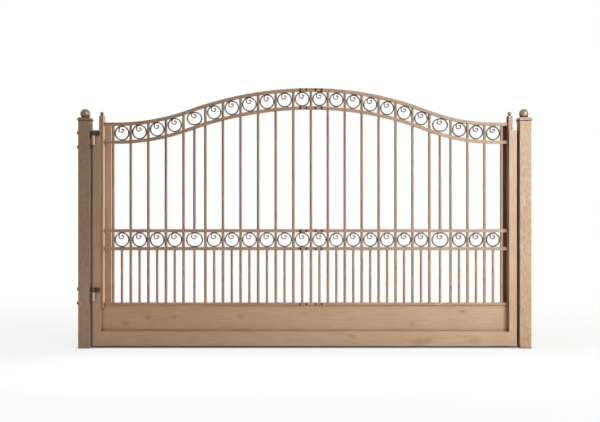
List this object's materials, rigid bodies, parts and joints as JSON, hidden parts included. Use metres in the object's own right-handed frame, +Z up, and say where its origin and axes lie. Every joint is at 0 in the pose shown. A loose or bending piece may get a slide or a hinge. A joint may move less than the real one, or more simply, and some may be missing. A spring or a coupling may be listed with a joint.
{
  "type": "driveway gate",
  "caption": "Bronze single-leaf driveway gate with an arched top, rows of scrolled rings, slim round bars and a solid kick panel, hung between square posts with ball caps.",
  "frame": {"origin": "middle of the hinge post's foot, on the ground", "axes": "+X along the gate to the latch post, +Y to the back of the gate, +Z up"},
  "size_m": [4.027, 0.335, 2.309],
  "materials": {
    "bronze": "satin bronze coat with a faint wood-like brushed grain",
    "dark_bronze": "dark bronze coat on the fittings"
  },
  "bodies": {
    "posts": {"hinge_post": "bronze", "latch_post": "bronze", "hinge_post_cap": "bronze", "latch_post_cap": "bronze", "hinge_post_ball": "bronze", "latch_post_ball": "bronze", "upper_hinge_pintle": "dark_bronze", "lower_hinge_pintle": "dark_bronze", "upper_post_bolts": "dark_bronze", "lower_post_bolts": "dark_bronze"},
    "leaf": {"sill_beam": "bronze", "left_jamb": "bronze", "right_jamb": "bronze", "kick_panel": "bronze", "left_stile": "bronze", "right_stile": "bronze", "left_stile_finial": "bronze", "right_stile_finial": "bronze", "left_return": "bronze", "right_return": "bronze", "top_arch_rail": "bronze", "second_arch_rail": "bronze", "upper_mid_rail": "bronze", "lower_mid_rail": "bronze", "bottom_rail": "bronze", "main_bars": "bronze", "wide_bay_bars": "bronze", "dog_bars": "bronze", "arch_rings": "bronze", "mid_rings": "bronze", "splice_plates": "bronze", "splice_bolts": "dark_bronze", "upper_hinge_strap": "bronze", "lower_hinge_strap": "bronze", "strap_bolts": "dark_bronze"}
  },
  "joints": [
    {"name": "leaf_swing", "type": "hinge", "parent": "posts", "child": "leaf", "pos_m": [0.084, -0.038, 0], "axis": [0, 0, -1], "range_deg": [0, 100]}
  ]
}
